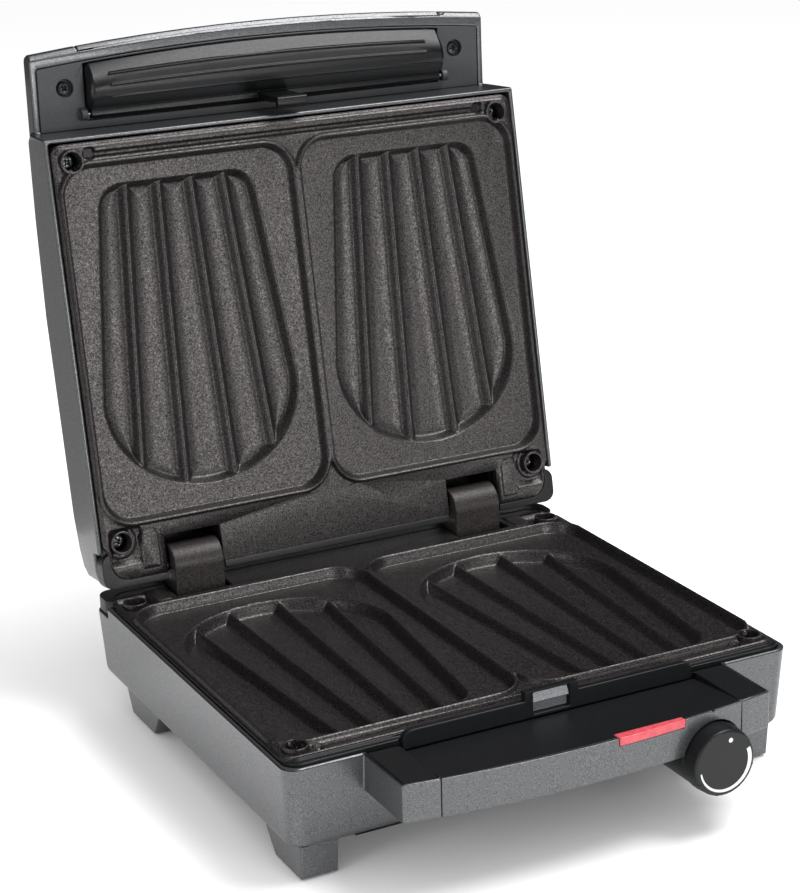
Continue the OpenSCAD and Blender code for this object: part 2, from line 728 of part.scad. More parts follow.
module lid_frame() {
    seat_w = flange_w + flange_t;
    color("#1b1c1f") on_lid() difference() {
        union() {
            difference() {
                union() {
                    round_slab(-134.8, 134.8, -227.4, -8, seat_w, seat_w + 8, 5);
                    // rear section, seen beside the hinge
                    round_slab(-137, 137, -12.8, 6.3, 2.2, 11.8, 6);
                }
                round_slab(-131.7, 131.7, -60, -plate_back + gap, -5, seat_w, 10);
                // open middle, and room for the backs of the pans
                round_slab(-128, 128, -219, -26, 0, 30, 8);
                round_slab(-60, 60, -60, -5, seat_w + 2.5, 30, 4);
                block(-140, 140, -217.6, -25.4, 0, 9.2);
            }
            // pillars behind the plate's corner bosses
            for (x = [-boss_x, boss_x], v = boss_v) translate([x, -v, boss_end]) cylinder(h = 25 - boss_end, r = 5.5);
            both_sides() for (v = boss_v) block(boss_x, 133, -v - 3, -v + 3, 11, 16);
            // ears of the hinge
            both_sides() for (x = [notch_x[0] - 3.5, notch_x[1]]) block(x, x + 3.5, -9, 3.6, seat_w + 0.1, 15);
        }
        both_sides() block(notch_x[0], notch_x[1], -notch_v, 20, 0, 26);
        translate([0, 0, hinge_w]) rod_x(pin_r, -110, 110);
        for (x = [-boss_x, boss_x], v = boss_v) translate([x, -v, 0]) {
            cylinder(h = boss_end, r = 6.6);
            cylinder(h = 60, r = 2);
        }
    }
}

module lid_handle_panel() {
    color("#202124") on_lid() difference() {
        union() {
            difference() {
                intersection() {
                    translate([0, 0, 10]) linear_extrude(30) panel_plan(0);
                    pulled_x(-140, 140) polygon([[-225, 30.2], [-285, 19.4], [-285, 22.2], [-225, 33]]);
                }
                // mouth for the latch lever
                translate([0, 0, 10]) linear_extrude(30) intersection() {
                    panel_plan(-1, lever_half + 2);
                    translate([-lever_half - 0.5, -290]) square([2 * lever_half + 1, 290 - 238.1]);
                }
            }
            both_sides() {
                // cup of the fixing screw, on the back of the panel
                translate([panel_screw[0], -panel_screw[1], 26]) cylinder(h = 4, r = 6.2);
                // ear that holds the latch's pin
                translate([0, -lever_v, lever_w]) rod_x(3.2, lever_half + 0.8, lever_half + 4.2);
            }
        }
        both_sides() {
            translate([panel_screw[0], -panel_screw[1], 10]) {
                cylinder(h = 50, r = 2);
                cylinder(h = 18, r = 4.7);
            }
            translate([0, -lever_v, lever_w]) rod_x(1.2, 100, 120);
        }
    }
}

module lid_panel_screws() {
    color("#3a3b3e") on_lid() both_sides()
        translate([panel_screw[0], -panel_screw[1], 28]) screw(3.8, 2, 2, 5.4);
}

module hinge_pins() {
    color("#c4c6c8") on_lid() both_sides() translate([0, 0, hinge_w]) rod_x(pin_r, notch_x[0] - 3.5, notch_x[1] + 3.5);
}

// ---- latch ----

// Underside of the lever's finger bar, from its foot to its front edge
function bar_w(f) = 22.3 - 6.6 * sin(180 * pow(f, 0.85)) - 1.2 * f;
function bar_front(x) = grip_v(x) - 9.9;

// Slice of the finger bar at x: swelling underside, flat back
module bar_slice(x, shrink) {
    front = bar_front(x) - shrink;
    under = [for (i = [0:8]) let (f = i / 8) [-243 - (front - 243) * f, bar_w(f) + shrink]];
    translate([x - eps / 2, 0, 0]) rotate([90, 0, 90]) linear_extrude(eps)
        polygon(concat(under, [[-front, 23.2], [-243, 26.4]]));
}

module latch_lever() {
    color("#202124") on_lid() difference() {
        union() {
            hull() {
                for (i = [-6:6]) bar_slice(102.4 * i / 6, 0);
                for (s = [-1, 1]) bar_slice(lever_half * s, 1.6);
            }
            // pivot barrel along the foot of the bar, and the tongue with its tooth
            translate([0, -lever_v, lever_w]) rod_x(2.9, -lever_half + 1, lever_half - 1);
            block(-lever_half + 1, lever_half - 1, -243.4, -240, 21.8, 25);
            pulled_x(-8.8, 8.8) polygon([[-243.4, 24], [-239.4, 24], [-236.6, 4], [-236.6, -0.6],
                [-232.9, -0.6], [-235, -4.2], [-238.6, -4.2], [-239.6, -2.8], [-240, 4]]);
            // raised grip lines, fanned like the bar's front edge
            for (f = [0.24, 0.48, 0.72]) translate([0, 0, bar_w(f) - 0.5]) linear_extrude(2.5)
                polygon([for (side = [-1, 1], i = [-8:8]) let (x = -side * 93.3 * i / 8)
                    [x, -243 - (bar_front(x) - 243) * f + 0.65 * side]]);
        }
        translate([0, -lever_v, lever_w]) rod_x(1.25, -120, 120);
    }
}

module latch_pin() {
    color("#c4c6c8") on_lid() translate([0, -lever_v, lever_w]) rod_x(1.2, -108.2, 108.2);
}

module latch_spring() {
    // leaf spring under the roof of the handle, in the shape that it takes when it is pressed
    color("#a9abae") on_lid() pulled_x(-8, 8)
        polygon([[-246, 33], [-262.2, 33], [-262.9, 32.4], [-258.4, 27.4], [-257.8, 27.8], [-261.6, 32.2],
            [-261.3, 32.5], [-246, 32.5]]);
}

base_shell();
base_frame();
base_handle_trim();
base_handle_tray();
indicator_lens();
indicator_lamp();
lower_plate();
lower_heating_element();
lower_heat_shield();
lower_plate_screws();
catch_plate();
hinge_arm_left();
hinge_arm_right();
hinge_screws();
base_screws();
rubber_feet();
cord_gland();
thermostat();
knob_housing();
thermostat_shaft();
knob();
lid_shell();
lid_frame();
lid_handle_trim();
lid_handle_panel();
lid_panel_screws();
upper_plate();
upper_heating_element();
upper_heat_shield();
upper_plate_screws();
hinge_pins();
latch_lever();
latch_pin();
latch_spring();
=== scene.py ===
import math

import bmesh
import bpy
import numpy as np
from mathutils import Matrix, Vector


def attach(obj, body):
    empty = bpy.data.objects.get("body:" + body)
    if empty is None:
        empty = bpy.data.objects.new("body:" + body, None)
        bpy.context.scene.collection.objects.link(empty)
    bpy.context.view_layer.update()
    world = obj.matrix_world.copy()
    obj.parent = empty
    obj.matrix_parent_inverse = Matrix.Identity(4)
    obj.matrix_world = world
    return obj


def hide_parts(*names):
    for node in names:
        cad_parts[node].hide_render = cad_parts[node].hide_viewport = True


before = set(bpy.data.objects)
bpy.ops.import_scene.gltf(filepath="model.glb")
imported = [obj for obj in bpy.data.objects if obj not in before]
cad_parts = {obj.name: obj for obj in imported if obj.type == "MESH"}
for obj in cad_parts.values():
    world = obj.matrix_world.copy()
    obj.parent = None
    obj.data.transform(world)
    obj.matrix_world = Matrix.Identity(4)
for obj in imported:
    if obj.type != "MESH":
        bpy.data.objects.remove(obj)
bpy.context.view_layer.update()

# ---- Camera, light and floor ----
# The toaster stands open on a plain pale table, seen from its front left and from a little above,
# through a long lens that keeps the sides of the base almost parallel.

MM = 0.001                              # sizes are in millimetres where this turns them to metres
MIDDLE_Y = 116.36                       # from the back wall to the middle of the open toaster


def linear_colour(code):
    """A hex colour as shown on screen, turned into the linear colour that shaders use."""
    parts = [int(code[i:i + 2], 16) / 255 for i in (1, 3, 5)]
    return tuple(c / 12.92 if c <= 0.04045 else ((c + 0.055) / 1.055) ** 2.4 for c in parts) + (1.0,)


def add_node(tree, kind, settings=None, inputs=None):
    """Adds a node with its settings, and with a value or a link on each input that is named."""
    node = tree.nodes.new(kind)
    for name, value in (settings or {}).items():
        setattr(node, name, value)
    for name, value in (inputs or {}).items():
        if isinstance(value, bpy.types.NodeSocket):
            tree.links.new(value, node.inputs[name])
        else:
            node.inputs[name].default_value = value
    return node


def add_object(name, data):
    """A new object in the scene, unturned and unscaled at the origin."""
    thing = bpy.data.objects.new(name, data)
    bpy.context.scene.collection.objects.link(thing)
    return thing


# Solved from the photo's straight edges: angles, distance and the point looked at, and in pixels
# the picture's size, the focal length and the place of the lens's axis.
turn, tilt, roll = math.radians(28.06), math.radians(17.85), math.radians(-1.15)
LOOKS_AT = Vector((28.29, -100 + MIDDLE_Y, 155.72))
DISTANCE = 1229.45
PICTURE_WIDTH, PICTURE_HEIGHT = 800, 893
FOCAL_LENGTH, AXIS_X, AXIS_Y = 2383.96, 453.03, 422.78
SENSOR_WIDTH = 36.0
ahead = Vector((math.sin(turn) * math.cos(tilt), math.cos(turn) * math.cos(tilt), -math.sin(tilt)))
side = ahead.cross(Vector((0, 0, 1))).normalized()
over = side.cross(ahead)
side, over = (math.cos(roll) * side + math.sin(roll) * over,
              math.cos(roll) * over - math.sin(roll) * side)
lens_data = bpy.data.cameras.new("camera")
lens_data.sensor_fit = "HORIZONTAL"
lens_data.sensor_width = SENSOR_WIDTH
lens_data.lens = SENSOR_WIDTH * FOCAL_LENGTH / PICTURE_WIDTH
lens_data.shift_x = (PICTURE_WIDTH / 2 - AXIS_X) / PICTURE_WIDTH
lens_data.shift_y = (AXIS_Y - PICTURE_HEIGHT / 2) / PICTURE_WIDTH
lens_data.clip_start = 0.05
camera = add_object("camera", lens_data)
pose = Matrix((side, over, -ahead)).transposed().to_4x4()
pose.translation = (LOOKS_AT - ahead * DISTANCE) * MM
camera.matrix_world = pose
bpy.context.scene.camera = camera


def softbox(name, place, aim, size, power):
    """A rectangular soft light, with its place, aim and size in metres and its power in watts."""
    data = bpy.data.lights.new(name, "AREA")
    data.shape = "RECTANGLE"
    data.size, data.size_y = size
    data.energy = power
    lamp = add_object(name, data)
    lamp.location = place
    lamp.rotation_euler = (Vector(aim) - Vector(place)).to_track_quat("-Z", "Y").to_euler()


softbox("left_strip_light", (-1.5, -0.75, 0.5), (0, 0, 0.2), (0.4, 1.2), 5)
softbox("front_light", (0.35, -1.7, 0.4), (0, 0.1, 0.2), (0.7, 0.5), 9)
softbox("top_light", (0.6, -0.25, 1.45), (0, 0, 0.1), (1.0, 0.7), 20)

# White walls that light everything, but show in reflections only at a seventh of their strength.
REFLECTED_WALLS = 0.14
world = bpy.data.worlds.new("studio")
world.use_nodes = True
walls = world.node_tree.nodes["Background"]
walls.inputs["Color"].default_value = linear_colour("#fcfcfc")
ray = add_node(world.node_tree, "ShaderNodeLightPath")
strength = add_node(world.node_tree, "ShaderNodeMapRange", {}, {
    "Value": ray.outputs["Is Glossy Ray"], "To Min": 1.0, "To Max": REFLECTED_WALLS})
world.node_tree.links.new(strength.outputs["Result"], walls.inputs["Strength"])
bpy.context.scene.world = world
bpy.context.scene.view_settings.view_transform = "Standard"


def stage_sheet(name, corners, faces, material_name, colour):
    """Flat matt sheets of the studio, such as its paper floor, with corners in metres."""
    mesh = bpy.data.meshes.new(name)
    mesh.from_pydata(corners, [], faces)
    material = bpy.data.materials.new(material_name)
    material.use_nodes = True
    matt = material.node_tree.nodes["Principled BSDF"]
    matt.inputs["Base Color"].default_value = linear_colour(colour)
    matt.inputs["Roughness"].default_value = 1.0
    matt.inputs["Specular IOR Level"].default_value = 0.0
    mesh.materials.append(material)
    return add_object(name, mesh)


floor = stage_sheet("floor", [(-6, -6, 0), (6, -6, 0), (6, 6, 0), (-6, 6, 0)], [(0, 1, 2, 3)],
                    "white_background_paper", "#f9f9f9")

# Black cards behind the toaster, to its right and on the table far in front of it, and a grey one
# on the table behind it. Only reflections see them, which gives the satin blacks their depth.
black_cards = stage_sheet("dark_cards", [
    (-3.2, -0.3, 0.2), (-0.6, 0.9, 0.2), (1.6, 0.9, 0.2),
    (1.6, 0.9, 1.6), (-0.6, 0.9, 1.6), (-3.2, -0.3, 1.6),
    (0.7, -0.9, 0.05), (1.0, 0.5, 0.05), (1.0, 0.5, 0.6), (0.7, -0.9, 0.6),
    (-2, -4, 0.004), (4, -4, 0.004), (4, -0.75, 0.004), (-2, -0.75, 0.004)],
    [(0, 1, 4, 5), (1, 2, 3, 4), (6, 7, 8, 9), (10, 11, 12, 13)], "black_velvet_cloth", "#0c0c0d")
grey_card = stage_sheet("grey_card", [
    (-1.7, 0.36, 0.003), (0.1, 0.36, 0.003), (0.1, 2, 0.003), (-1.7, 2, 0.003)],
    [(0, 1, 2, 3)], "grey_felt", "#8c8c8c")
for cards in (black_cards, grey_card):
    cards.visible_camera = cards.visible_diffuse = False
    cards.visible_shadow = cards.visible_transmission = False

# ---- Painted casings ----
# The base's tub, the lid and the two strips let into the handles are moulded in ABS and sprayed
# with gunmetal paint. Its aluminium flakes give a fine grain, and its clear coat bright edges.


def new_material(name):
    """A material with its node tree and its shader."""
    material = bpy.data.materials.new(name)
    material.use_nodes = True
    tree = material.node_tree
    return material, tree, tree.nodes["Principled BSDF"]


def grain(tree, size, detail=2.0):
    """Noise whose grains are about size millimetres across, in the object's own space."""
    place = add_node(tree, "ShaderNodeTexCoord")
    return add_node(tree, "ShaderNodeTexNoise", {}, {
        "Vector": place.outputs["Object"], "Scale": 1 / (size * MM), "Detail": detail}).outputs["Fac"]


def between(tree, factor, low, high, from_low=0.35, from_high=0.65):
    """Spreads a pattern over low to high. Most noise lies between 0.35 and 0.65."""
    return add_node(tree, "ShaderNodeMapRange", {}, {
        "Value": factor, "From Min": from_low, "From Max": from_high,
        "To Min": low, "To Max": high}).outputs["Result"]


def two_tone(tree, factor, dark, light, from_low=0.35, from_high=0.65):
    """Colour that goes from dark to light with a pattern."""
    share = between(tree, factor, 0.0, 1.0, from_low, from_high)
    mix = add_node(tree, "ShaderNodeMix", {"data_type": "RGBA"}, {"Factor": share})
    mix.inputs[6].default_value = linear_colour(dark)        # colour sockets A and B of the node
    mix.inputs[7].default_value = linear_colour(light)
    return mix.outputs[2]


def relief(tree, height, depth):
    """Bump of a given depth in millimetres."""
    return add_node(tree, "ShaderNodeBump", {}, {
        "Height": height, "Distance": depth * MM, "Strength": 1.0}).outputs["Normal"]


# Metallic paint on ABS: real flakes are 0.05 mm, drawn at 0.5 mm so that their grain shows.
metallic_paint, tree, shader = new_material("gunmetal_metallic_paint_on_abs")
flakes = grain(tree, 0.5)
tree.links.new(two_tone(tree, flakes, "#494a4c", "#6c6d6f"), shader.inputs["Base Color"])
tree.links.new(between(tree, grain(tree, 1.1), 0.3, 0.42), shader.inputs["Roughness"])
tree.links.new(relief(tree, flakes, 0.02), shader.inputs["Normal"])
shader.inputs["Metallic"].default_value = 0.8
shader.inputs["Coat Weight"].default_value = 0.35
shader.inputs["Coat Roughness"].default_value = 0.14


def plain_mesh(piece):
    """Applies the modifiers, and leaves a plain mesh."""
    bpy.context.view_layer.update()
    mesh = bpy.data.meshes.new_from_object(piece.evaluated_get(bpy.context.evaluated_depsgraph_get()))
    piece.modifiers.clear()
    piece.data = mesh
    return piece


def soften(piece, edge, steps=2, angle=32):
    """Rounds the sharp edges by a radius in millimetres, and shades the flats flat."""
    if edge:
        bevel = piece.modifiers.new("edges", "BEVEL")
        bevel.width = edge * MM
        bevel.segments = steps
        bevel.limit_method = "ANGLE"
        bevel.angle_limit = math.radians(angle)
        bevel.use_clamp_overlap = False
        bevel.miter_outer = "MITER_ARC"
    piece.data.shade_smooth()
    weights = piece.modifiers.new("flats", "WEIGHTED_NORMAL")
    weights.keep_sharp = True
    weights.weight = 60
    return plain_mesh(piece)


def mesh_from(shape, name):
    """Turns a finished bmesh into a mesh."""
    mesh = bpy.data.meshes.new(name)
    shape.to_mesh(mesh)
    shape.free()
    return mesh


def moulded_copy(node, name, edge, steps=2, angle=32):
    """A clean copy of a CAD solid with its moulded edge radius, which takes the solid's place."""
    shape = bmesh.new()
    shape.from_mesh(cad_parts[node].data)
    bmesh.ops.remove_doubles(shape, verts=shape.verts, dist=2e-6)
    bmesh.ops.dissolve_degenerate(shape, edges=shape.edges, dist=2e-6)
    bmesh.ops.dissolve_limit(shape, angle_limit=math.radians(0.6), verts=shape.verts, edges=shape.edges)
    bmesh.ops.connect_verts_concave(shape, faces=shape.faces)
    return soften(add_object(name, mesh_from(shape, name)), edge, steps, angle)


def dress(piece, material, body, node):
    """Gives a finished piece its material and its body, and hides the solid that it stands for."""
    piece.data.materials.append(material)
    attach(piece, body)
    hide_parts(node)


dress(moulded_copy("base_shell", "base_casing", 0.8), metallic_paint, "base",
      "base_shell")
dress(moulded_copy("lid_shell", "lid_casing", 1.05, 4, 24), metallic_paint, "lid",
      "lid_shell")
dress(moulded_copy("base_handle_trim", "lower_handle_strip", 0.4), metallic_paint, "base",
      "base_handle_trim")
dress(moulded_copy("lid_handle_trim", "upper_handle_strip", 0.5, angle=24), metallic_paint, "lid",
      "lid_handle_trim")

# ---- Black inner frames ----
# Heat-proof phenolic mouldings that carry the plates and keep their heat off the casings. The
# tool's fine spark-eroded texture makes them satin rather than glossy.

# Black phenolic: the eroded grain is about 0.1 mm, drawn at 0.45 mm so that it shows.
phenolic, tree, shader = new_material("black_phenolic_moulding")
erosion = grain(tree, 0.45, 3.0)
tree.links.new(two_tone(tree, erosion, "#0f1012", "#17181b"), shader.inputs["Base Color"])
tree.links.new(between(tree, grain(tree, 0.9), 0.3, 0.42), shader.inputs["Roughness"])
tree.links.new(relief(tree, erosion, 0.015), shader.inputs["Normal"])
shader.inputs["IOR"].default_value = 1.55
shader.inputs["Specular IOR Level"].default_value = 0.28

dress(moulded_copy("base_frame", "lower_inner_frame", 0.5), phenolic, "base",
      "base_frame")
dress(moulded_copy("lid_frame", "upper_inner_frame", 0.5), phenolic, "lid",
      "lid_frame")

# ---- Toasting plates ----
# Two die castings in aluminium from one tool, sprayed with a dark non-stick coat whose flakes
# sparkle grey in the light. The casting's edges and ridges are all well rounded.

# Sprayed non-stick coat: the speckle is about 0.3 mm, drawn at 0.75 mm so that it shows.
nonstick, tree, shader = new_material("nonstick_coat_on_die_cast_aluminium")
specks = grain(tree, 0.75, 3.0)
tree.links.new(two_tone(tree, specks, "#2f2d2d", "#676363", 0.34, 0.7), shader.inputs["Base Color"])
tree.links.new(between(tree, grain(tree, 1.4), 0.36, 0.5), shader.inputs["Roughness"])
tree.links.new(relief(tree, specks, 0.035), shader.inputs["Normal"])
shader.inputs["Metallic"].default_value = 0.9

# The plate's own frame has x across, v from the hinge to the handle, and 0 height where the two
# plates meet when shut. The hinge's axis lies at v 0, 9 mm above that.
HINGE_Y, HINGE_Z, MEETING_Z = -11, 73.2, 64.2
OPEN_ANGLE = 101                        # degrees from shut to the position in the photo
lower_place = Matrix.Translation(Vector((0, MIDDLE_Y + HINGE_Y, MEETING_Z)) * MM)
lid_place = (Matrix.Translation(Vector((0, MIDDLE_Y + HINGE_Y, HINGE_Z)) * MM)
             @ Matrix.Rotation(math.radians(-OPEN_ANGLE), 4, "X")
             @ Matrix.Translation(Vector((0, 0, MEETING_Z - HINGE_Z)) * MM))
PAN_MIDDLE = 67.5                       # from the plate's middle line to the middle of a pan
BOSS_X, REAR_BOSS, FRONT_BOSS = 124.7, 17.9, 217.9
CREST, FLANGE = -0.2, -2.5              # heights of the pans' rims and of the flat round them


def box_gap(x, v, x0, x1, v0, v1, r):
    """Signed distance to a rounded rectangle, in millimetres, negative inside it."""
    dx = np.abs(x - (x0 + x1) / 2) - (x1 - x0) / 2 + r
    dv = np.abs(v - (v0 + v1) / 2) - (v1 - v0) / 2 + r
    return np.hypot(np.maximum(dx, 0), np.maximum(dv, 0)) + np.minimum(np.maximum(dx, dv), 0) - r


def outline_gap(x, v, loop):
    """Signed distance to a closed outline of points, negative inside it."""
    near = np.full(x.shape, 1e9)
    inside = np.zeros(x.shape, bool)
    for (ax, av), (bx, bv) in zip(loop, loop[1:] + loop[:1]):
        along = ((x - ax) * (bx - ax) + (v - av) * (bv - av)) / ((bx - ax) ** 2 + (bv - av) ** 2)
        along = np.clip(along, 0, 1)
        near = np.minimum(near, np.hypot(x - ax - along * (bx - ax), v - av - along * (bv - av)))
        crosses = (av > v) != (bv > v)
        with np.errstate(divide="ignore", invalid="ignore"):
            inside ^= crosses & (x < ax + (v - av) * (bx - ax) / (bv - av))
    return np.where(inside, -near, near)


def ease(t):
    """Goes softly from 0 to 1."""
    t = np.clip(t, 0, 1)
    return t * t * (3 - 2 * t)


def plate_height(x, v):
    """Height of the food side, from rectangles given as left, right, rear, front and corner radius."""
    x = np.abs(x)
    low_step = ease((box_gap(x, v, -133.5, 133.5, -10, 225.2, 5) + 0.3) / 0.6)
    height = FLANGE - 0.8 * low_step
    # drip groove along the front, with a deeper pocket at its end
    groove = box_gap(x, v, -116, 116, 219.2, 221.8, 1)
    pocket = box_gap(x, v, 111.5, 117, 218.8, 224, 1.5)
    height -= 2.6 * ease((0.5 - groove) / 0.9) * (1 - ease((0.4 - pocket) / 0.8))
    height -= 3.4 * ease((0.4 - pocket) / 0.8)
    # crest round each bread pan, and the web between the two
    pan = box_gap(x, v, 1.6, 132.3, 27, 216, 17)
    crest = np.minimum(pan, box_gap(x, v, -5, 5, 40, 200, 1) + 1.2)
    height += (CREST - height) * ease((1.9 - crest) / 0.9) * (1 - low_step)
    # sunk floor round each rear boss, with a low ring round the boss
    sunk = ease((0.3 - box_gap(x, v, 112.5, 131, -10, 25, 3)) / 1.2) * ease((v - 4) / 4)
    ring = np.hypot(x - BOSS_X, v - REAR_BOSS) - 9
    height -= sunk * (2.6 - 1.1 * ease(-ring / 0.5))
    # pad beside each rear boss, and the small step before it
    step = box_gap(x, v, 105.5, 113, 18, 22.8, 1)
    height += np.maximum(-2.0 - height, 0) * ease((0.3 - step) / 0.6)
    pad = box_gap(x, v, 104.5, 114, 2, 20, 1)
    height += (-1.5 - height) * ease((0.3 - pad) / 0.6)
    # bread pan with leaning walls
    height = np.minimum(height, CREST - 5.8 * ease(-pan / 2.6))
    # toasting hollow: straight at its front end, an ellipse at its rear end
    half = [(45 - 14 + 14 * math.sin(a), 204.5 - 14 + 14 * math.cos(a))
            for a in (math.radians(15 * i) for i in range(7))]
    half += [(56, 90)] + [(56 * math.cos(a), 89 - 49.5 * math.sin(a))
                          for a in (math.radians(5 * i) for i in range(1, 19))]
    loop = half + [(-a, b) for a, b in reversed(half[:-1])]
    hollow = outline_gap(x - PAN_MIDDLE, v, loop)
    bed = -8.4 - 4.6 * ease(-hollow / 3.6) + 2.4 * np.clip((9.4 + hollow) / 9.4, 0, 1) ** 2
    # four ridges that press lines across the bread, fanned towards the hinge
    for x0, x1 in ((-9.2, -14.4), (9.2, 14.4), (-27.6, -39.5), (27.6, 39.5)):
        lean = (x1 - x0) / 169
        away = np.abs((x - PAN_MIDDLE - x0 - lean * (203 - v)) * math.cos(math.atan(lean)))
        ridge = -13.0 + 3.1 * ease((4.1 - away) / 3.7) + 2.4 * np.clip((9.4 - away) / 9.4, 0, 1) ** 2
        bed = np.maximum(bed, ridge)
    return np.where(hollow < 0, np.minimum(height, bed), height)


def spaced(marks, pitch):
    """Coordinates no further apart than the pitch that include every mark."""
    parts = [np.linspace(a, b, max(1, math.ceil((b - a) / pitch)) + 1)[:-1]
             for a, b in zip(marks, marks[1:])]
    return np.concatenate(parts + [[marks[-1]]])


def plate_skin(pitch):
    """Points and quads of the food side, cut out to the casting's outline."""
    xs = spaced([-135, -133.5, -101, -68.5, -5, 5, 68.5, 101, 133.5, 135], pitch)
    vs = spaced([-2.3, 17.5, 27, 216, 219.4, 221.6, 225.2, 227.2], pitch)
    x, v = np.meshgrid(xs, vs)

    def outside(x, v):
        rim = np.minimum(box_gap(x, v, -135, 135, 13, 227.2, 6),
                         box_gap(x, v, -131.5, 131.5, -2.3, 40, 10))
        notch = box_gap(np.abs(x), v, 68.5, 101, -20, 17.5, 0.01)
        return np.maximum(rim, -notch)

    def bored(x, v):
        return np.minimum(np.hypot(np.abs(x) - BOSS_X, v - REAR_BOSS),
                          np.hypot(np.abs(x) - BOSS_X, v - FRONT_BOSS)) - 5.65

    cx, cv = (x[1:, 1:] + x[:-1, :-1]) / 2, (v[1:, 1:] + v[:-1, :-1]) / 2
    kept = (outside(cx, cv) < 0) & (bored(cx, cv) > 0)
    count = np.zeros(x.shape, int)
    for i in (0, 1):
        for j in (0, 1):
            count[i:i + kept.shape[0], j:j + kept.shape[1]] += kept
    # move the points beside the cut onto the true outline, along its slope
    gap = outside(x, v)
    edge = (count > 0) & (count < 4) & (np.abs(gap) < 1.2)
    tiny = 1e-3
    gx = (outside(x + tiny, v) - outside(x - tiny, v)) / (2 * tiny)
    gv = (outside(x, v + tiny) - outside(x, v - tiny)) / (2 * tiny)
    x = np.where(edge, x - gap * gx, x)
    v = np.where(edge, v - gap * gv, v)
    rows, cols = np.nonzero(kept)
    wide = x.shape[1]
    quads = np.stack([rows * wide + cols, rows * wide + cols + 1, (rows + 1) * wide + cols + 1,
                      (rows + 1) * wide + cols], 1)
    used, quads = np.unique(quads, return_inverse=True)
    points = np.stack([x.ravel()[used], v.ravel()[used]], 1)
    return points, quads.reshape(-1, 4)


GRID = 0.7                              # pitch of the skin's points, before flat faces are joined
points, quads = plate_skin(GRID)
skin = np.column_stack([points[:, 0], -points[:, 1], plate_height(points[:, 0], points[:, 1])])
plate_mesh = bpy.data.meshes.new("plate_skin")
plate_mesh.from_pydata((skin * MM).tolist(), [], quads[:, ::-1].tolist())
plate_mesh.update()
plate = add_object("plate_skin", plate_mesh)
thinning = plate.modifiers.new("fewer_flat_faces", "DECIMATE")
thinning.ratio = 0.34                   # keeps each plate under 200,000 triangles
casting = plate.modifiers.new("casting", "SOLIDIFY")
casting.thickness = 2.6 * MM
casting.offset = -1.0
plain_mesh(plate)


def lathe(shape, profile, centre, count=40):
    """Adds a ring round a vertical axis from its closed profile of radius and height."""
    rings = []
    for i in range(count):
        a = 2 * math.pi * i / count
        rings.append([shape.verts.new(((centre[0] + r * math.cos(a)) * MM,
                                       (centre[1] + r * math.sin(a)) * MM, z * MM)) for r, z in profile])
    last = len(profile) if profile[0][0] and profile[-1][0] else len(profile) - 1
    for one, two in zip(rings, rings[1:] + rings[:1]):
        for k in range(last):
            m = (k + 1) % len(profile)
            shape.faces.new((one[k], two[k], two[m], one[m]))
    bmesh.ops.remove_doubles(shape, verts=[p for ring in rings for p in ring], dist=1e-7)


shape = bmesh.new()
shape.from_mesh(plate.data)
boss = [(2.2, -11.5), (5.0, -11.5), (5.0, -0.6), (5.12, -0.32), (5.4, -0.2), (5.9, -0.2), (6.18, -0.32),
        (6.3, -0.6), (6.3, -14), (2.2, -14)]
for bx in (-BOSS_X, BOSS_X):
    for bv in (REAR_BOSS, FRONT_BOSS):
        lathe(shape, boss[::-1], (bx, -bv))
shape.to_mesh(plate.data)
shape.free()

for name, body, node in (("lower_toasting_plate", "base", "lower_plate"),
                         ("upper_toasting_plate", "lid", "upper_plate")):
    mesh = plate.data.copy()
    if body == "base":
        mesh.transform(lower_place)
    else:
        mesh.transform(Matrix.Scale(-1, 4, (0, 0, 1)))
        mesh.flip_normals()             # the mirroring turned its faces inwards
        mesh.transform(lid_place)
    dress(soften(add_object(name, mesh), 0), nonstick, body, node)
bpy.data.objects.remove(plate)

# ---- Hinge ----
# Two cast arms stand on the base, with a dark coat on their round barrels, and bright steel pins
# join them to the ears of the lid's frame. The latch's pin and the knob's shaft are of that steel.

# Sprayed dark coat, finer and smoother than the plates': its speckle is drawn at 0.6 mm.
arm_coat, tree, shader = new_material("dark_coat_on_hinge_casting")
specks = grain(tree, 0.6, 3.0)
tree.links.new(two_tone(tree, specks, "#1f1d1c", "#413d3b"), shader.inputs["Base Color"])
tree.links.new(between(tree, grain(tree, 1.2), 0.36, 0.5), shader.inputs["Roughness"])
tree.links.new(relief(tree, specks, 0.03), shader.inputs["Normal"])
shader.inputs["Metallic"].default_value = 0.3
shader.inputs["Specular IOR Level"].default_value = 0.35

dress(moulded_copy("hinge_arm_left", "left_hinge_arm", 0.8, 3), arm_coat, "base",
      "hinge_arm_left")
dress(moulded_copy("hinge_arm_right", "right_hinge_arm", 0.8, 3), arm_coat, "base",
      "hinge_arm_right")

# Bright zinc plate on turned steel: a pale metal with soft reflections.
zinc_steel, tree, shader = new_material("bright_zinc_plated_steel")
tree.links.new(two_tone(tree, grain(tree, 1.6), "#a9abad", "#c9cbcd"), shader.inputs["Base Color"])
tree.links.new(between(tree, grain(tree, 0.5), 0.22, 0.36), shader.inputs["Roughness"])
shader.inputs["Metallic"].default_value = 1.0

dress(moulded_copy("hinge_pins", "hinge_pins_turned", 0.3), zinc_steel, "lid",
      "hinge_pins")
dress(moulded_copy("latch_pin", "latch_pin_turned", 0.2), zinc_steel, "lid",
      "latch_pin")
dress(moulded_copy("thermostat_shaft", "thermostat_shaft_turned", 0.2), zinc_steel, "dial",
      "thermostat_shaft")

# ---- Handles, latch and knob housing ----
# Black ABS mouldings: the tray of the lower handle, the panel and the finger bar of the upper
# one, and the housing behind the knob. A bent steel catch holds the finger bar's tooth.

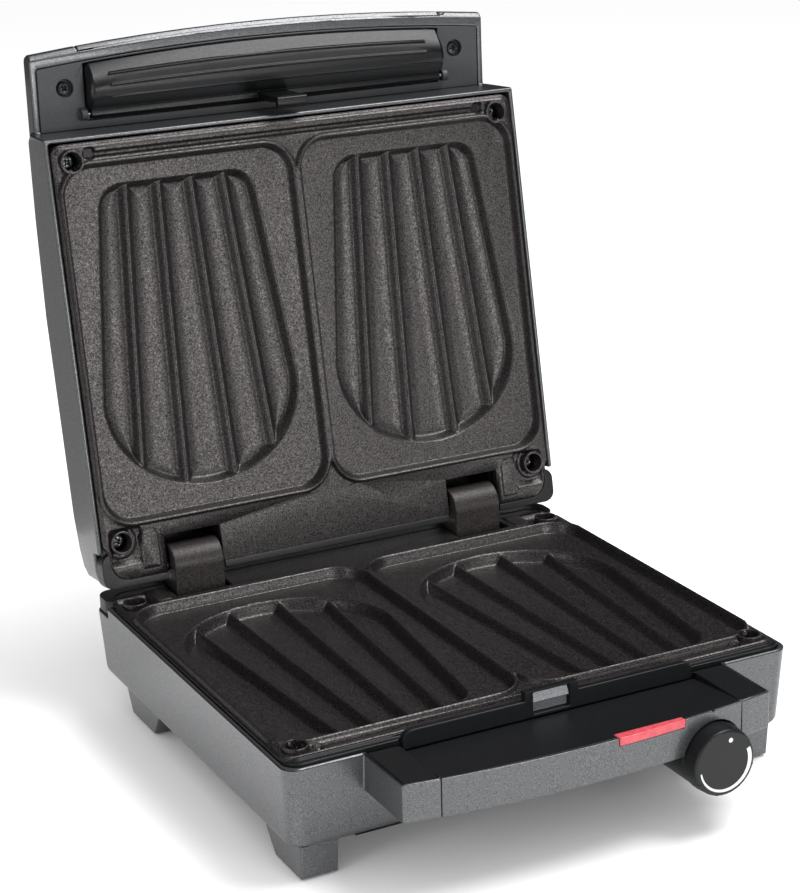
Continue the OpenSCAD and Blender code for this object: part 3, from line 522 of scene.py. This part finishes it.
# Satin ABS: the tool's texture is about 0.1 mm, drawn at 0.4 mm so that it shows.
satin_abs, tree, shader = new_material("black_satin_abs")
leather = grain(tree, 0.4, 2.0)
tree.links.new(two_tone(tree, leather, "#0f1012", "#17181a"), shader.inputs["Base Color"])
tree.links.new(between(tree, grain(tree, 1.0), 0.36, 0.46), shader.inputs["Roughness"])
tree.links.new(relief(tree, leather, 0.01), shader.inputs["Normal"])
shader.inputs["IOR"].default_value = 1.53
shader.inputs["Specular IOR Level"].default_value = 0.3

dress(moulded_copy("base_handle_tray", "lower_handle_tray", 0.4), satin_abs, "base",
      "base_handle_tray")

# The panel round the finger bar is spark eroded, which makes it greyer than the other mouldings.
eroded_abs, tree, shader = new_material("spark_eroded_black_abs")
tree.links.new(two_tone(tree, grain(tree, 0.45, 3.0), "#28292c", "#36383b"), shader.inputs["Base Color"])
tree.links.new(between(tree, grain(tree, 1.0), 0.46, 0.56), shader.inputs["Roughness"])
shader.inputs["IOR"].default_value = 1.53
dress(moulded_copy("lid_handle_panel", "upper_handle_panel", 0.4), eroded_abs, "lid",
      "lid_handle_panel")

# The finger bar comes from a polished tool, so it is smoother and darker than the panel round it.
smooth_abs, tree, shader = new_material("smooth_black_abs")
tree.links.new(two_tone(tree, grain(tree, 0.8), "#0b0c0d", "#101113"), shader.inputs["Base Color"])
tree.links.new(between(tree, grain(tree, 1.2), 0.28, 0.36), shader.inputs["Roughness"])
shader.inputs["IOR"].default_value = 1.53
shader.inputs["Specular IOR Level"].default_value = 0.3
dress(moulded_copy("latch_lever", "latch_finger_bar", 0.5), smooth_abs, "latch",
      "latch_lever")
dress(moulded_copy("knob_housing", "knob_housing_moulding", 0.6), satin_abs, "base",
      "knob_housing")

# Rolled steel of the catch behind the window of the frame: grey, and duller than zinc plate.
grey_steel, tree, shader = new_material("grey_rolled_steel")
tree.links.new(two_tone(tree, grain(tree, 0.8), "#737579", "#8d8f92"), shader.inputs["Base Color"])
tree.links.new(between(tree, grain(tree, 0.5), 0.4, 0.5), shader.inputs["Roughness"])
shader.inputs["Metallic"].default_value = 0.7
dress(moulded_copy("catch_plate", "catch_spring_plate", 0.15), grey_steel, "base",
      "catch_plate")

# ---- Thermostat knob ----
# One moulding in black ABS, hollow at the back, with eight fine grip ribs that turn over its rim.
# The white dot and the tapering crescent of its heat scale are pad printed on the flat face.


def new_group(name, inputs):
    """A Geometry Nodes tree with its input node, and the identifier of each named input."""
    tree = bpy.data.node_groups.new(name, "GeometryNodeTree")
    tree.interface.new_socket("Geometry", in_out="OUTPUT", socket_type="NodeSocketGeometry")
    sockets = {label: tree.interface.new_socket(label, in_out="INPUT", socket_type=kind).identifier
               for label, kind in inputs}
    return tree, add_node(tree, "NodeGroupInput"), sockets


def end_group(tree, given, instances):
    """Ends a tree in Realize Instances and Set Material."""
    real = add_node(tree, "GeometryNodeRealizeInstances", {}, {"Geometry": instances})
    coated = add_node(tree, "GeometryNodeSetMaterial", {}, {
        "Geometry": real.outputs[0], "Material": given.outputs["Material"]})
    add_node(tree, "NodeGroupOutput", {}, {"Geometry": coated.outputs[0]})


ribs_tree, given, rib_sockets = new_group("ribs_round_an_axis", (
    ("Geometry", "NodeSocketGeometry"), ("Count", "NodeSocketInt"),
    ("First Angle", "NodeSocketFloat"), ("Material", "NodeSocketMaterial")))
as_instance = add_node(ribs_tree, "GeometryNodeGeometryToInstance", {}, {
    "Geometry": given.outputs["Geometry"]})
repeated = add_node(ribs_tree, "GeometryNodeDuplicateElements", {"domain": "INSTANCE"}, {
    "Geometry": as_instance.outputs[0], "Amount": given.outputs["Count"]})
pitch = add_node(ribs_tree, "ShaderNodeMath", {"operation": "DIVIDE"}, {
    0: 2 * math.pi, 1: given.outputs["Count"]})
angle = add_node(ribs_tree, "ShaderNodeMath", {"operation": "MULTIPLY_ADD"}, {
    0: repeated.outputs["Duplicate Index"], 1: pitch.outputs[0], 2: given.outputs["First Angle"]})
turn_by = add_node(ribs_tree, "ShaderNodeCombineXYZ", {}, {"Z": angle.outputs[0]})
turned = add_node(ribs_tree, "GeometryNodeRotateInstances", {}, {
    "Instances": repeated.outputs["Geometry"], "Rotation": turn_by.outputs[0]})
end_group(ribs_tree, given, turned.outputs[0])


def bar(shape, rows):
    """Closed bar through rows of four points each."""
    for one, two in zip(rows, rows[1:]):
        for k in range(4):
            shape.faces.new((one[k], two[k], two[(k + 1) % 4], one[(k + 1) % 4]))
    shape.faces.new(rows[0])
    shape.faces.new(rows[-1][::-1])


# One rib, which follows the knob's side and its rounded rim, before it is repeated: radius and
# height along it, how far its top stands out and up there, and across it the place of its foot
# (0) and top (1).
rib_line = [(16.95, 1.2), (17.1, 3), (16.62, 8.4), (16.45, 9.02), (16.05, 9.53), (15.4, 9.84),
            (13.6, 9.84)]
rib_rise = [(0.0, -0.3), (0.06, 0), (0.22, 0.03), (0.2, 0.12), (0.12, 0.18), (0.03, 0.16),
            (0.0, -0.3)]
rib_across = [(-0.45, 0), (-0.22, 1), (0.22, 1), (0.45, 0)]
shape = bmesh.new()
rows = [[shape.verts.new(((r + out * top - (1 - top) * 0.6) * MM, w * MM,
                          (t + up * top - (1 - top) * 0.4) * MM)) for w, top in rib_across]
        for (r, t), (out, up) in zip(rib_line, rib_rise)]
bar(shape, rows)
bmesh.ops.recalc_face_normals(shape, faces=shape.faces)
rib = add_object("grip_rib", mesh_from(shape, "grip_rib"))
DOT_ANGLE = 14                          # degrees from the top of the face, and of the first rib
ribbing = rib.modifiers.new("ribs", "NODES")
ribbing.node_group = ribs_tree
ribbing[rib_sockets["Count"]] = 8
ribbing[rib_sockets["First Angle"]] = math.radians(90 - DOT_ANGLE)
ribbing[rib_sockets["Material"]] = satin_abs
plain_mesh(rib)

# Radius and height round the knob, from the axis inside its hollow back to the middle of its face.
knob_profile = [(0, 5), (3, 5), (3, 0.3), (3.3, 0), (4.7, 0), (5, 0.3), (5, 7.5), (14.8, 7.5), (14.8, 0.3),
                (15.1, 0), (16.9, 0), (17.12, 0.1), (17.2, 0.4), (17.2, 3), (17.1, 4), (16.74, 8.3),
                (16.62, 8.85), (16.35, 9.32), (15.95, 9.66), (15.4, 9.82), (14.8, 9.86), (0, 9.86)]
shape = bmesh.new()
lathe(shape, knob_profile, (0, 0), 96)
shape.from_mesh(rib.data)
bpy.data.objects.remove(rib)
moulded = set(shape.faces)
PRINT_LOW, PRINT_TOP = 9.76, 9.9        # the ink's foot is sunk in the face, at 9.86
SCALE_R, SCALE_START, SCALE_SWEEP, SCALE_STEPS = 13.8, 68, 192, 64
DOT_R, DOT_FROM_AXIS = 1.2, 11.6
KNOB_X, KNOB_BACK, KNOB_Z = 63, -289, 37


def scale_point(degrees, r, t):
    """Point on the knob's face, at an angle clockwise from its top."""
    a = math.radians(degrees)
    return shape.verts.new((r * math.sin(a) * MM, r * math.cos(a) * MM, t * MM))


crescent = []
for i in range(SCALE_STEPS + 1):
    degrees = SCALE_START + SCALE_SWEEP * i / SCALE_STEPS
    half = 1.05 - 0.65 * max(0.0, (degrees - 100) / 160)     # half its width, which tapers
    crescent.append([scale_point(degrees, SCALE_R + way * half, t) for way, t in (
        (-1, PRINT_LOW), (-1, PRINT_TOP), (1, PRINT_TOP), (1, PRINT_LOW))])
bar(shape, crescent)
dot_place = (DOT_FROM_AXIS * math.sin(math.radians(DOT_ANGLE)),
             DOT_FROM_AXIS * math.cos(math.radians(DOT_ANGLE)))
lathe(shape, [(0, PRINT_LOW), (DOT_R, PRINT_LOW), (DOT_R, PRINT_TOP), (0, PRINT_TOP)], dot_place, 32)
for face in shape.faces:                # the ink is the second material
    face.material_index = 0 if face in moulded else 1
bmesh.ops.recalc_face_normals(shape, faces=shape.faces)
knob = add_object("thermostat_knob", mesh_from(shape, "thermostat_knob"))
knob.data.transform(Matrix.Translation(Vector((KNOB_X, MIDDLE_Y + KNOB_BACK, KNOB_Z)) * MM)
                    @ Matrix.Rotation(math.radians(90), 4, "X"))

# Pad-printed two-part ink: matt, and a little uneven where the pad lifted.
white_ink, tree, shader = new_material("white_pad_print_ink")
tree.links.new(two_tone(tree, grain(tree, 0.7), "#c3c6c6", "#d6d8d8"), shader.inputs["Base Color"])
tree.links.new(between(tree, grain(tree, 0.5), 0.5, 0.62), shader.inputs["Roughness"])
dress(soften(knob, 0), satin_abs, "dial", "knob")
knob.data.materials.append(white_ink)

# ---- Screws ----
# Pan-head screws with a cross recess: four in each plate's bosses, four up into the hinge arms and
# four up into the frame, all zinc plated, and two blackened ones in the upper handle's panel.

screw_tree, given, screw_sockets = new_group("screws_at_points", (
    ("Geometry", "NodeSocketGeometry"), ("Screw", "NodeSocketObject"), ("Size", "NodeSocketFloat"),
    ("Seed", "NodeSocketInt"), ("Material", "NodeSocketMaterial")))
blank_in = add_node(screw_tree, "GeometryNodeObjectInfo", {}, {"Object": given.outputs["Screw"]})
any_turn = add_node(screw_tree, "FunctionNodeRandomValue", {"data_type": "FLOAT"}, {
    2: 0.0, 3: math.pi / 2, "Seed": given.outputs["Seed"]})  # from no turn to a quarter
upright = add_node(screw_tree, "ShaderNodeCombineXYZ", {}, {"Z": any_turn.outputs[1]})
placed = add_node(screw_tree, "GeometryNodeInstanceOnPoints", {}, {
    "Points": given.outputs["Geometry"], "Instance": blank_in.outputs["Geometry"],
    "Rotation": upright.outputs[0], "Scale": given.outputs["Size"]})
end_group(screw_tree, given, placed.outputs[0])


def screw_blank(head_r, head_h, shank_r, length):
    """One pan-head screw that points up from the seat of its head, with a tapered cross recess."""
    shape = bmesh.new()
    lathe(shape, [(0, -length), (shank_r - 0.4, -length), (shank_r, 0.5 - length), (shank_r, 0),
                  (head_r - 0.15, 0), (head_r, 0.15), (head_r, 0.45 * head_h), (0.93 * head_r, 0.72 * head_h),
                  (0.75 * head_r, 0.9 * head_h), (0.42 * head_r, 0.985 * head_h), (0, head_h)], (0, 0), 32)
    bmesh.ops.recalc_face_normals(shape, faces=shape.faces)
    blank = add_object("screw_blank", mesh_from(shape, "screw_blank"))
    cutters = []
    for degrees in (0, 90):
        shape = bmesh.new()
        bmesh.ops.create_cube(shape, size=1.0)
        for point in shape.verts:
            wide = 1.25 if point.co.z > 0 else 0.7
            point.co = Vector((point.co.x * head_r * wide, point.co.y * 0.9 * wide,
                               head_h + point.co.z * 2.6)) * MM
        shape.transform(Matrix.Rotation(math.radians(degrees), 4, "Z"))
        cutters.append(add_object("recess", mesh_from(shape, "recess")))
        cut = blank.modifiers.new("recess", "BOOLEAN")
        cut.object = cutters[-1]
        cut.solver = "EXACT"
    plain_mesh(blank)
    for cutter in cutters:
        bpy.data.objects.remove(cutter)
    return blank


def screws(node, name, body, material, place, spots, sizes, seed):
    """Puts one kind of screw at its spots, in the frame that place gives, and joins them in one mesh."""
    blank = screw_blank(*sizes)
    mesh = bpy.data.meshes.new(name)
    mesh.from_pydata([Vector(spot) * MM for spot in spots], [], [])
    group = add_object(name, mesh)
    setting = group.modifiers.new("screws", "NODES")
    setting.node_group = screw_tree
    setting[screw_sockets["Screw"]] = blank
    setting[screw_sockets["Size"]] = 1.0
    setting[screw_sockets["Seed"]] = seed
    setting[screw_sockets["Material"]] = material
    plain_mesh(group)
    bpy.data.objects.remove(blank)
    group.data.transform(place)
    group.data.materials.clear()
    dress(soften(group, 0), material, body, node)


# Zinc-plated steel of the screws: a darker and duller metal than the hinge's pins.
zinc_screw, tree, shader = new_material("zinc_plated_screw_steel")
tree.links.new(two_tone(tree, grain(tree, 0.8), "#77797c", "#97999c"), shader.inputs["Base Color"])
tree.links.new(between(tree, grain(tree, 0.5), 0.3, 0.42), shader.inputs["Roughness"])
shader.inputs["Metallic"].default_value = 1.0

# Blackened steel: nearly black, with a soft metal sheen on the recess's edges.
black_screw, tree, shader = new_material("blackened_screw_steel")
tree.links.new(two_tone(tree, grain(tree, 0.8), "#2c2d30", "#47484b"), shader.inputs["Base Color"])
tree.links.new(between(tree, grain(tree, 0.5), 0.3, 0.4), shader.inputs["Roughness"])
shader.inputs["Metallic"].default_value = 0.8

# Each kind has its node, name, body and steel, the frame of its spots, the spots, the sizes of screw_blank
# and a seed. In the lid's frame and under the base the heads face down.
turned_over = Matrix.Rotation(math.pi, 4, "X")
base_place = Matrix.Translation(Vector((0, MIDDLE_Y, 0)) * MM) @ turned_over
lid_face = lid_place @ turned_over
sides = (-1, 1)
screws("lower_plate_screws", "lower_plate_pan_screws", "base", zinc_screw, lower_place,
       [(BOSS_X * s, -v, -11.5) for s in sides for v in (REAR_BOSS, FRONT_BOSS)], (4, 2.6, 2, 12), 1)
screws("upper_plate_screws", "upper_plate_pan_screws", "lid", zinc_screw, lid_face,
       [(BOSS_X * s, v, -11.5) for s in sides for v in (REAR_BOSS, FRONT_BOSS)], (4, 2.6, 2, 12), 2)
screws("hinge_screws", "hinge_pan_screws", "base", zinc_screw, base_place,
       [(x * s, 13, -52) for s in sides for x in (77.5, 91.5)], (4, 2.6, 2, 14), 3)
screws("base_screws", "base_pan_screws", "base", zinc_screw, base_place,
       [(104 * s, y, -30) for s in sides for y in (236.5, 16)], (3.8, 2.6, 1.8, 22), 4)
screws("lid_panel_screws", "handle_pan_screws", "lid", black_screw, lid_face,
       [(115.4 * s, 255.8, -28) for s in sides], (3.8, 2, 2, 5.4), 5)

# ---- Indicator lens ----
# A rose-red bar of milky acrylic in the front edge of the lower handle, injection moulded with
# polished faces. Light spreads a little inside it, so it looks brighter than paint would.

rose_acrylic, tree, shader = new_material("rose_red_acrylic")
tree.links.new(two_tone(tree, grain(tree, 3.0), "#bb4550", "#c65259"), shader.inputs["Base Color"])
shader.inputs["Roughness"].default_value = 0.2
shader.inputs["IOR"].default_value = 1.49
shader.inputs["Subsurface Weight"].default_value = 0.2
shader.inputs["Subsurface Radius"].default_value = (0.004, 0.001, 0.001)
dress(moulded_copy("indicator_lens", "indicator_lens_bar", 0.6, 3), rose_acrylic, "base",
      "indicator_lens")

# ---- Inside and underneath ----
# Elements, reflectors, lamp, thermostat, feet, the cord's bush and the latch's spring. They keep
# their solids, and most show only through the gaps or from below.

# material, its two colours, metallic and roughness
finishes = {
    "lower_heating_element": ("heat_darkened_steel_tube", "#5d5f62", "#76787b", 0.8, 0.45),
    "lower_heat_shield": ("bright_aluminium_sheet", "#c6c8ca", "#dcdddf", 1.0, 0.3),
    "indicator_lamp": ("clear_glass_lamp", "#d9c9b8", "#e6dacd", 0.0, 0.12),
    "thermostat": ("steatite_ceramic", "#a8a294", "#bdb7aa", 0.0, 0.6),
    "cord_gland": ("black_rubber", "#141416", "#1e1f21", 0.0, 0.7),
    "latch_spring": ("spring_steel_strip", "#9a9c9f", "#b5b7ba", 1.0, 0.28),
}
same_finish = {"upper_heating_element": "lower_heating_element",
               "upper_heat_shield": "lower_heat_shield", "rubber_feet": "cord_gland"}
made = {}
for node, (name, dark, light, metal, rough) in finishes.items():
    material, tree, shader = new_material(name)
    tree.links.new(two_tone(tree, grain(tree, 0.9), dark, light), shader.inputs["Base Color"])
    tree.links.new(between(tree, grain(tree, 0.6), rough - 0.04, rough + 0.05), shader.inputs["Roughness"])
    shader.inputs["Metallic"].default_value = metal
    made[node] = material
for node in list(finishes) + list(same_finish):
    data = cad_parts[node].data
    data.materials.clear()
    data.materials.append(made[same_finish.get(node, node)])
